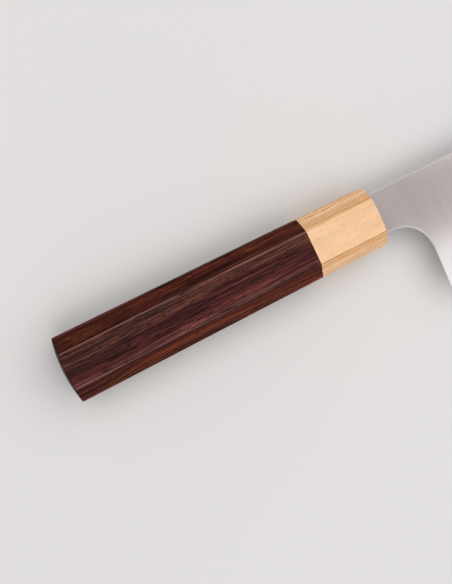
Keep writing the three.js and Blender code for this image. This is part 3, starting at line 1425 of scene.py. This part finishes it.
    def seat(self, piece: Piece, ring: Ring, number: int) -> None:
        """Moves the selected vertices to their places on a ring.

        Args:
            piece: The blade in edit mode.
            ring: The ring's places, row by row.
            number: The ring's number, 0 at the heel, negative towards the tang.
        """
        mesh = bmesh.from_edit_mesh(piece.data)
        row_layer, ring_layer = self.numbers(mesh)
        for vert in mesh.verts:
            if not vert.select:
                continue
            along, up = ring[vert[row_layer]]
            half = self.edge_land / 2 if vert[row_layer] == self.last_row else self.half_at(along, up)
            side = math.copysign(1.0, vert.co.z - self.frame.axis_z)
            vert.co = self.frame.place(along, up, side * half)
            vert[ring_layer] = number
        bmesh.update_edit_mesh(piece.data)

    def draw_out(self, piece: Piece, rings: list[Ring], start: int, step: int) -> None:
        """Extrudes the selected faces from ring to ring.

        Args:
            piece: The blade in edit mode.
            rings: The rings to pass through.
            start: The number of the ring that the faces are on.
            step: 1 towards the tip, -1 towards the tang.
        """
        pull = {"value": (step * self.first_pull * MM, 0.0, 0.0)}
        for i, ring in enumerate(rings, 1):
            bpy.ops.mesh.extrude_region_move(TRANSFORM_OT_translate=pull)
            self.seat(piece, ring, start + step * i)

    def ease_edges(self, piece: Piece, shoulder: int) -> None:
        """Rounds the edges of the spine, neck and heel, and keeps the sharpened line crisp.

        Args:
            piece: The blade.
            shoulder: The number of the ring at the ferrule's face.
        """
        with editing(piece):
            mesh = bmesh.from_edit_mesh(piece.data)
            weight_layer = mesh.edges.layers.float.new("bevel_weight_edge")
            row_layer, ring_layer = self.numbers(mesh)
            for edge in mesh.edges:
                rows = sorted(vert[row_layer] for vert in edge.verts)
                rings = sorted(vert[ring_layer] for vert in edge.verts)
                first, second = (vert.co.z - self.frame.axis_z for vert in edge.verts)
                if first * second < 0 or rings[0] < shoulder:
                    continue
                spine = rows == [0, 0]
                neck = rows == [self.neck_rows, self.neck_rows] and rings[1] <= 0
                heel = rings == [0, 0] and rows[0] >= self.neck_rows
                if spine or neck or heel:
                    edge[weight_layer] = self._easing(edge, spine)
                if rows == [self.last_row - 1, self.last_row - 1]:
                    edge.smooth = False
            bmesh.update_edit_mesh(piece.data)
        apply_modifier(
            piece,
            "BEVEL",
            width=self.ease * MM,
            segments=ROUND_SEGMENTS,
            limit_method="WEIGHT",
            use_clamp_overlap=False,
        )
        with editing(piece):
            choose_all()
            bpy.ops.mesh.remove_doubles(threshold=self.weld * MM)

    def _easing(self, edge: bmesh.types.BMEdge, on_spine: bool) -> float:
        """Says how far an edge is rounded, less where the blade is thin and where the spine meets the tip.

        Args:
            edge: The edge.
            on_spine: Whether it is an edge of the spine.

        Returns:
            The rounding as a share of the full one, 0 where too little is left to round.
        """
        half = min(abs(vert.co.z - self.frame.axis_z) for vert in edge.verts) / MM
        along = max(self.frame.along(vert.co) for vert in edge.verts)
        eased = min(self.ease, self.ease_of_half * half)
        if on_spine and along > self.drop_start:
            row = (self.height_at(along) - self.bevel_at(along)) / self.last_row
            eased = min(eased, self.ease_of_row * row)
        return eased / self.ease if eased > self.least_ease else 0.0

    def chart_lengthwise(self, piece: Piece) -> None:
        """Gives the blade the chart that its satin lines follow, and drops the layers used in building it.

        Args:
            piece: The finished blade.
        """
        attributes = piece.data.attributes
        for name in ("row", "ring", "bevel_weight_edge"):
            if name in attributes:
                attributes.remove(attributes[name])
        chart = piece.data.uv_layers.new(name="lengthwise")
        for loop, place in zip(piece.data.loops, chart.data):
            place.uv = piece.data.vertices[loop.vertex_index].co.xy

    def build(self) -> Piece:
        """Builds the blade, neck and tang as one mesh.

        Returns:
            The blade.
        """
        blade = self.heel_strip()
        neck_rings = self.neck_rings()
        shoulder = -len(neck_rings)
        with editing(blade):
            choose_all()
            self.draw_out(blade, self.forward_rings(), 0, 1)
            mesh = bmesh.from_edit_mesh(blade.data)
            row_layer, ring_layer = self.numbers(mesh)

            def starts_neck(face: bmesh.types.BMFace) -> bool:
                """Says whether a face of the heel is one that the neck is drawn out of."""
                return all(v[ring_layer] == 0 and v[row_layer] <= self.neck_rows for v in face.verts)

            choose(blade, Part.FACES, starts_neck)
            self.draw_out(blade, neck_rings, 0, -1)
            self.draw_out(blade, self.tang_rings(), shoulder, -1)
            choose_all()
            bpy.ops.mesh.normals_make_consistent(inside=False)
        self.ease_edges(blade, shoulder)
        smooth(blade, self.sharp_turn)
        self.chart_lengthwise(blade)
        stand_for(blade, SatinSteel().make(), "blade")
        return blade


@dataclass
class HiddenJoint:
    """The CAD dowel inside the handle and the resin round the tang, which shows in the ferrule's slot."""

    frame: KnifeFrame
    handle: Handle
    blade: Blade
    dowel: Piece
    slot_front: float = 0.7
    kerf_front: float = -7.3
    kerf_end: float = -93.2
    kerf_radius: float = 6.557
    kerf_thickness: float = 3.6
    seam: float = 0.02

    def dress_dowel(self) -> Piece:
        """Gives the CAD dowel its finish.

        Returns:
            The dowel.
        """
        self.dowel.data.materials.clear()
        self.dowel.data.materials.append(DowelWood().make())
        return self.dowel

    def build_bedding(self) -> Piece:
        """Builds the resin: a bar in the dowel's kerf and a fill in the slot, both round the tang.

        Returns:
            The resin.
        """
        resin = self.frame.rod("amber_bedding", self.kerf_end, self.kerf_front, self.kerf_radius)
        with editing(resin):
            for side in (1, -1):
                trim(self.frame.place(0.0, 0.0, side * self.kerf_thickness / 2), Vector((0.0, 0.0, side)))
        combine(resin, self._slot_fill(), Joining.ADD)
        combine(resin, self._tang_room(), Joining.CUT)
        smooth(resin)
        stand_for(resin, BeddingResin().make(), "tang_bedding")
        return resin

    def _slot_fill(self) -> Piece:
        """Makes the block of resin that fills the ferrule's slot and reaches back into the kerf.

        Returns:
            The block.
        """
        rear = self.kerf_front - self.handle.cutter_reach
        size = [wall - 2 * self.seam for wall in (self.handle.slot_height, self.handle.slot_thickness)]
        return self.frame.block("slot_fill", rear, self.slot_front, size)

    def _tang_room(self) -> Piece:
        """Makes a block of the tang's tapered shape, larger by a seam.

        Returns:
            The block.
        """
        blade = self.blade
        rear, front = -blade.tang_length - self.seam, self.handle.front_dome
        height, thickness = (size + 2 * self.seam for size in (blade.tang_end, blade.blank_thickness))
        front_size = (height * blade.tang_root / blade.tang_end, thickness)
        return self.frame.block("tang_room", rear, front, (height, thickness), front_size)


@dataclass
class Studio:
    """A pale floor that runs into a pale backdrop, under a soft ceiling light with a slot for the camera.

    Sizes are metres. A rise is how far a direction points up, from 0 at the horizon to 1 overhead.
    """

    floor_radius: float = 3.0
    floor_sides: int = 96
    fade_start: float = 0.35
    fade_end: float = 1.0
    floor: Colour = (0.74, 0.735, 0.73)
    floor_clouds: float = 3.0
    cloud_shade: float = 0.98
    floor_roughness: float = 0.85
    floor_specular: float = 0.1
    backdrop: Colour = (0.765, 0.755, 0.745)
    wall: Colour = (0.55, 0.542, 0.535)
    ceiling: Colour = (0.562, 0.506, 0.477)
    wall_rise: tuple[float, float] = (0.1, 0.45)
    ceiling_rise: tuple[float, float] = (0.45, 0.85)
    light_height: float = 1.0
    light_level: float = 0.97
    light_colour: Colour = (0.94, 0.975, 1.0)
    near_end: float = -0.95
    far_end: float = 1.45
    edge_side: float = -1.29
    spine_side: float = 1.06
    slot_edge_side: float = -0.184
    slot_spine_side: float = 0.11
    slot_end: float = 0.62
    step_start: float = 0.47
    step_spine_side: float = -0.05

    def build(self) -> Piece:
        """Sets up the room, the light and the floor.

        Returns:
            The floor.
        """
        self._room()
        panels = {
            "edge_side_panel": (self.near_end, self.far_end, self.edge_side, self.slot_edge_side),
            "spine_side_panel": (self.near_end, self.far_end, self.slot_spine_side, self.spine_side),
            "slot_end_panel": (self.slot_end, self.far_end, self.slot_edge_side, self.step_spine_side),
            "step_panel": (self.step_start, self.far_end, self.step_spine_side, self.slot_spine_side),
        }
        for name, sides in panels.items():
            self._panel(name, *sides)
        bpy.ops.object.select_all(action="DESELECT")
        bpy.ops.mesh.primitive_circle_add(
            vertices=self.floor_sides, radius=self.floor_radius, fill_type="NGON"
        )
        floor = christen("studio_floor")
        floor.data.materials.append(self._floor_paint())
        return floor

    def _floor_paint(self) -> bpy.types.Material:
        """Paints the floor, which runs into the backdrop with distance.

        Returns:
            The paint.
        """
        material, nodes, shader = new_material("pale_floor")
        place = nodes.add("TexCoord", {}).outputs["Object"]
        darker = tuple(level * self.cloud_shade for level in self.floor)
        clouds = nodes.noise(place, self.floor_clouds)
        looks = {
            "Base Color": nodes.ramp(clouds, [(0.3, darker), (0.7, self.floor)]),
            "Roughness": self.floor_roughness,
            "Specular IOR Level": self.floor_specular,
        }
        nodes.fill(shader, looks)
        distance = nodes.add("VectorMath", {0: place}, operation="LENGTH").outputs["Value"]
        fade = nodes.times(nodes.remap(distance, self.fade_start, self.fade_end), self._shown(nodes))
        backdrop = nodes.add("Emission", {"Color": (*self.backdrop, 1.0)}).outputs[0]
        seen = nodes.add("MixShader", {0: fade, 1: shader.outputs[0], 2: backdrop}).outputs[0]
        nodes.fill(material.node_tree.nodes["Material Output"], {"Surface": seen})
        return material

    @staticmethod
    def _shown(nodes: Nodes) -> Socket:
        """Says where the backdrop shows: to the camera, in polished surfaces and through clear ones.

        Args:
            nodes: The floor's node tree.

        Returns:
            A mask, 1 where it shows.
        """
        path = nodes.add("LightPath", {}).outputs
        mirrored = nodes.math("MAXIMUM", path["Is Glossy Ray"], path["Is Transmission Ray"])
        return nodes.math("MAXIMUM", path["Is Camera Ray"], mirrored)

    def _room(self) -> None:
        """Makes the room: a pale backdrop all round that darkens towards the ceiling."""
        world = bpy.data.worlds.new("room")
        bpy.context.scene.world = world
        world.use_nodes = True
        nodes = Nodes(world.node_tree)
        rise = nodes.axes(nodes.add("TexCoord", {}).outputs["Generated"])["Z"]
        colour = nodes.blend(nodes.remap(rise, *self.wall_rise), self.backdrop, self.wall)
        colour = nodes.blend(nodes.remap(rise, *self.ceiling_rise), colour, self.ceiling)
        nodes.fill(world.node_tree.nodes["Background"], {"Color": colour})

    def _panel(self, name: str, rear: float, front: float, low: float, high: float) -> None:
        """Hangs one panel of the ceiling light, facing down.

        Args:
            name: Its name.
            rear: Its side towards the butt.
            front: Its side towards the tip.
            low: Its side towards the cutting edge.
            high: Its side towards the spine.
        """
        light = bpy.data.lights.new(name, "AREA")
        light.shape = "RECTANGLE"
        light.size = front - rear
        light.size_y = high - low
        light.color = self.light_colour
        light.energy = self.light_level * math.pi * light.size * light.size_y
        lamp = bpy.data.objects.new(name, light)
        lamp.location = ((rear + front) / 2, (low + high) / 2, self.light_height)
        bpy.context.scene.collection.objects.link(lamp)


@dataclass
class PhotoCamera:
    """The camera, nearly overhead behind the ferrule, turned so that the blade runs up to the right."""

    frame: KnifeFrame
    along: float = -119.629
    up: float = 24.631
    out: float = 318.452
    turn_degrees: Triple = (0.3056, -10.7753, -26.378)
    lens: float = 52.86
    sensor: float = 36.0
    nearest: float = 10.0

    def build(self) -> Piece:
        """Places the camera and makes it the scene's.

        Returns:
            The camera.
        """
        data = bpy.data.cameras.new("photo_camera")
        data.lens = self.lens
        data.sensor_width = self.sensor
        data.clip_start = self.nearest * MM
        camera = bpy.data.objects.new("photo_camera", data)
        camera.location = self.frame.place(self.along, self.up, self.out)
        camera.rotation_euler = [math.radians(angle) for angle in self.turn_degrees]
        bpy.context.scene.collection.objects.link(camera)
        bpy.context.scene.camera = camera
        return camera


def main() -> None:
    """Builds the camera, the knife's pieces and the studio, in that order."""
    logging.basicConfig(level=logging.INFO, format="%(name)s: %(message)s")
    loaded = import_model()
    frame = KnifeFrame.measure()
    bpy.context.scene.view_settings.view_transform = "Standard"
    PhotoCamera(frame).build()
    handle = Handle(frame)
    blade = Blade(frame, handle)
    joint = HiddenJoint(frame, handle, blade, loaded["nodes"]["dowel"])
    made = [handle.build_body(), handle.build_ferrule(), blade.build()]
    made += [joint.dress_dowel(), joint.build_bedding()]
    for piece in made:
        LOG.info("%s: %d faces", piece.name, len(piece.data.polygons))
    Studio().build()


if __name__ == "__main__":
    main()
